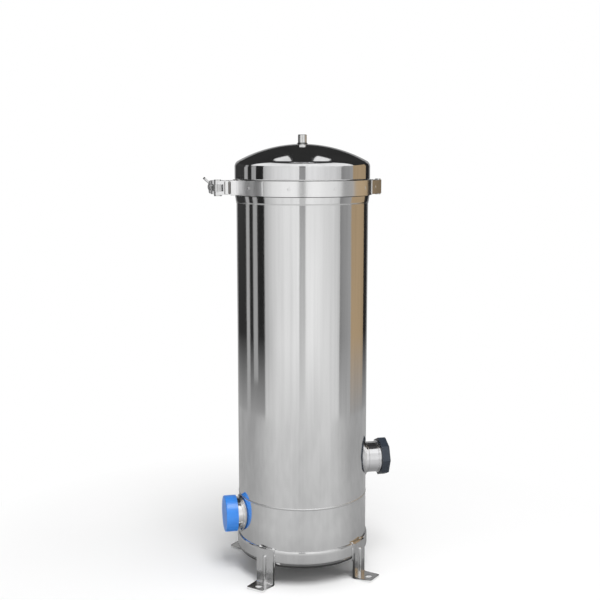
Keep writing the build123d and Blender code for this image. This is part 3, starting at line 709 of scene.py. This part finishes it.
# %% [markdown]
# ## What the steel sees
# Polished steel has no look of its own: it shows the room. In a studio, tall cards
# stand round such a vessel: dark ones draw its edges, light ones fill its front,
# and more of them lie on the floor. Real lamps in their place would also light the
# plastic and the floor. So only reflections see these cards: they cast no shadow
# and give no light to anything dull. Each card's tone is a colour attribute of
# its mesh, so that a card can fade from one end to the other.

# %% Paint that glows in the colour of the mesh
def glow(name):
    finish = Finish(name, Base_Color=(0.0, 0.0, 0.0, 1.0), Roughness=1.0,
                    Specular_IOR_Level=0.0, Emission_Strength=1.0)
    tone = finish.add("ShaderNodeVertexColor", {"layer_name": "tone"}, out="Color")
    streak = stretched(finish, (16.0, 16.0, 0.8), detail=3.0, rough=0.6)
    patch = stretched(finish, (3.0, 3.0, 2.2), detail=2.0)
    finish.feed(Emission_Color=finish.add("ShaderNodeVectorMath", {"operation": "SCALE"},
                                          {0: tone, "Scale": 0.66 + streak * 0.34 + patch * 0.34}))
    print("glowing paint", name)
    return finish.material


card_glow = glow("card_glow")

# %% [markdown]
# ## A card
# A card is a strip of a ring round the vessel. It could be a flat sheet, but a
# curved one keeps one distance, so its tone and its edges are easy to place: a
# bearing in degrees, counted from the camera to its right, and a height.

# %% One card: rows of places, each with its own tone
def toned(name, rows):
    """Makes a card from rows of places, given as (bearing, radius, height, tone)."""
    mesh = bpy.data.meshes.new(name)
    shape = bmesh.new()
    tones, grid = [], []
    for row in rows:
        line = []
        for bearing, radius, height, tone in row:
            turn = camera_bearing + math.radians(bearing)
            line.append(shape.verts.new((radius * math.cos(turn), radius * math.sin(turn), height)))
            tones.append(tone)
        grid.append(line)
    for left, right in zip(grid, grid[1:]):
        for a, b, c, d in zip(left, right, right[1:], left[1:]):
            shape.faces.new((a, b, c, d))
    shape.to_mesh(mesh)
    shape.free()
    tone_layer = mesh.color_attributes.new("tone", "FLOAT_COLOR", "POINT")
    for number, tone in enumerate(tones):
        tone_layer.data[number].color = (*tone, 1.0)
    card = bpy.data.objects.new(name, mesh)
    bpy.context.scene.collection.objects.link(card)
    card.data.materials.append(card_glow)
    for kind in ("camera", "diffuse", "shadow", "transmission", "volume_scatter"):
        setattr(card, "visible_" + kind, False)


def tone_of(level):
    """A single number is a neutral grey."""
    return Vector(level if isinstance(level, tuple) else grey(level))


def ring_card(name, stops, rungs):
    """Stops are (bearing, a tone for each rung); rungs are (radius, height) from low to high."""
    rows = []
    for (start, *before), (end, *after) in zip(stops, stops[1:]):
        steps = max(1, math.ceil((end - start) / 2.0))
        for share in (step / steps for step in range(steps + 1)):
            rows.append([(start + (end - start) * share, radius, height, tone_of(a).lerp(tone_of(b), share))
                         for (radius, height), a, b in zip(rungs, before, after)])
    toned(name, rows)


def plain(name, start, end, low, high, tone):
    """A card of one tone."""
    ring_card(name, [(start, tone, tone), (end, tone, tone)], [low, high])


print("card functions ready")

# %% [markdown]
# ## The wall cards
# Two soft light cards stand in front with a narrow gap between them. Dark cards
# stand at both sides to draw the edges, with two light strips among them at the
# left, and a grey and a warm bounce card stand at the right. All but the loose
# strip fade at the foot into a tone near the floor's, so that no hard line runs
# round the steel.

# %% Stand up the wall cards
wall_far, fade_height, wall_top = 1.05, 0.20, 0.93
warm = (0.42, 0.31, 0.19)
wall_cards = [
    # name, foot, then stops: bearing, low, top
    ("card_back", 0.40, (150, 0.30, 0.30), (210, 0.30, 0.30)),
    ("card_left_rear", 0.35, (210, 0.03, 0.05), (250, 0.03, 0.05)),
    ("card_left_light", 0.40, (250, 0.40, 0.40), (260, 0.40, 0.40)),
    ("card_left_dark", 0.35, (260, 0.02, 0.02), (295, 0.02, 0.02)),
    ("card_front_left", 0.70, (-65, 0.45, 0.50), (-45, 0.80, 0.80), (-5, 0.90, 0.90)),
    ("card_front_gap", 0.70, (-5, 0.60, 0.10), (5, 0.60, 0.10)),
    ("card_front_right", 0.70, (5, 0.90, 0.90), (45, 0.80, 0.80), (65, 0.60, 0.60)),
    ("card_right_grey", 0.45, (65, 0.25, 0.30), (90, 0.35, 0.40)),
    ("card_right_warm", 0.35, (90, warm, warm), (130, warm, warm)),
    ("card_right_dark", 0.35, (130, 0.02, 0.02), (150, 0.02, 0.02)),
]
for name, foot, *stops in wall_cards:
    ring_card(name, [(bearing, foot, low, top) for bearing, low, top in stops],
              [(wall_far, 0.0), (wall_far, fade_height), (wall_far, wall_top)])
plain("card_left_strip", 270, 280, (1.0, 0.10), (1.0, wall_top), 0.40)
print("wall cards:", len(wall_cards) + 1, "up to", wall_top, "m")

# %% [markdown]
# ## The floor cards
# The lower shell mirrors the floor, and a white one would leave it almost white. So a ring of
# soft grey lies a few millimetres above it, lightest in front and darker close by the vessel,
# which is painted shade. A darker ring round the vessel's foot is painted shade too, and a dark
# disc under the vessel stands for the shade there.

# %% Lay the floor cards
ring_lift, vessel_foot, ring_inside = 0.0045, 0.108, 0.14
# the close-by tones, darker than near and far, are painted shade of the vessel on the floor
floor_stops = [
    # bearing, close by, near, far
    (-180, 0.30, 0.40, 0.40), (-90, 0.30, 0.40, 0.40), (-45, 0.40, 0.60, 0.70),
    (45, 0.40, 0.60, 0.70), (90, 0.30, 0.40, 0.40), (180, 0.30, 0.40, 0.40),
]
ring_card("floor_ring", floor_stops,
          [(radius, ring_lift) for radius in (ring_inside, 0.30, wall_far)])
# a darker ring round the vessel's foot: painted shade
plain("floor_shade_ring", 0, 360, (vessel_foot, 0.0003), (ring_inside, 0.0040), 0.15)
plain("floor_under", 0, 360, (0.005, 0.0002), (vessel_foot, 0.0002), 0.05)
print("floor cards reach", wall_far, "m")

# %% [markdown]
# ## The upper room
# The dome looks up and over the wall cards. A bright sheet in front, a dark rear
# and a dark ceiling with one strip give it a clear shape, and two windows behind
# put a small light on each side of the vent.

# %% Hang the upper room
front_top, room_top = 2.45, 2.90
ring_card("sky_front", [(-95, 1.0, 0.8), (95, 1.0, 0.8)], [(wall_far, wall_top), (wall_far, front_top)])
plain("sky_back", 95, 265, (wall_far, wall_top), (wall_far, room_top), 0.03)
plain("over_front", -95, 95, (wall_far, front_top), (wall_far, room_top), 0.05)
plain("ceiling", 0, 360, (wall_far, room_top), (0.01, 2.95), 0.05)
plain("ceiling_strip", -70, 70, (0.30, 2.88), (0.50, 2.88), 1.0)
for name, start in (("window_left", 190), ("window_right", 160)):
    plain(name, start, start + 10, (1.03, 1.8), (1.03, 2.4), 0.9)
print("the upper room is", room_top, "m high")

# %% [markdown]
# ## Light
# The world gives an even pale light from all round, and is white where it is seen
# or mirrored. Two large soft lamps give the shapes some direction: one high in
# front, one lower on the right. They are kept weak, so that the plastic and the
# floor don't burn out.

# %% Light the studio
class Backdrop(Finish):
    """The world's nodes, made by the same method as a finish's."""

    def __init__(self, name):
        self.world = bpy.data.worlds.new(name)
        self.world.use_nodes = True
        self.tree = self.world.node_tree


def lamp(name, place, size, watts):
    data = bpy.data.lights.new(name, "AREA")
    data.shape = "RECTANGLE"
    data.size, data.size_y = size
    data.energy = watts
    soft = bpy.data.objects.new(name, data)
    soft.location = place
    aim = Vector((0.0, 0.0, 0.35)) - Vector(place)
    soft.rotation_euler = aim.to_track_quat("-Z", "Y").to_euler()
    bpy.context.scene.collection.objects.link(soft)


studio = Backdrop("studio")
bpy.context.scene.world = studio.world
room_light = studio.tree.nodes["Background"]
room_light.inputs["Color"].default_value = (*grey(0.56), 1.0)
white_back = studio.add("ShaderNodeBackground", {}, {"Color": (1.0, 1.0, 1.0, 1.0)})
studio.show(studio.add("ShaderNodeMixShader", {},
                       {0: seen_rays_of(studio), 1: Wire(studio, room_light.outputs[0]), 2: white_back}),
            output="World Output")
lamp("key_lamp", (0.1, -1.3, 2.8), (1.2, 1.6), 56.0)
lamp("fill_lamp", (2.2, -1.2, 1.6), (1.4, 1.4), 14.0)
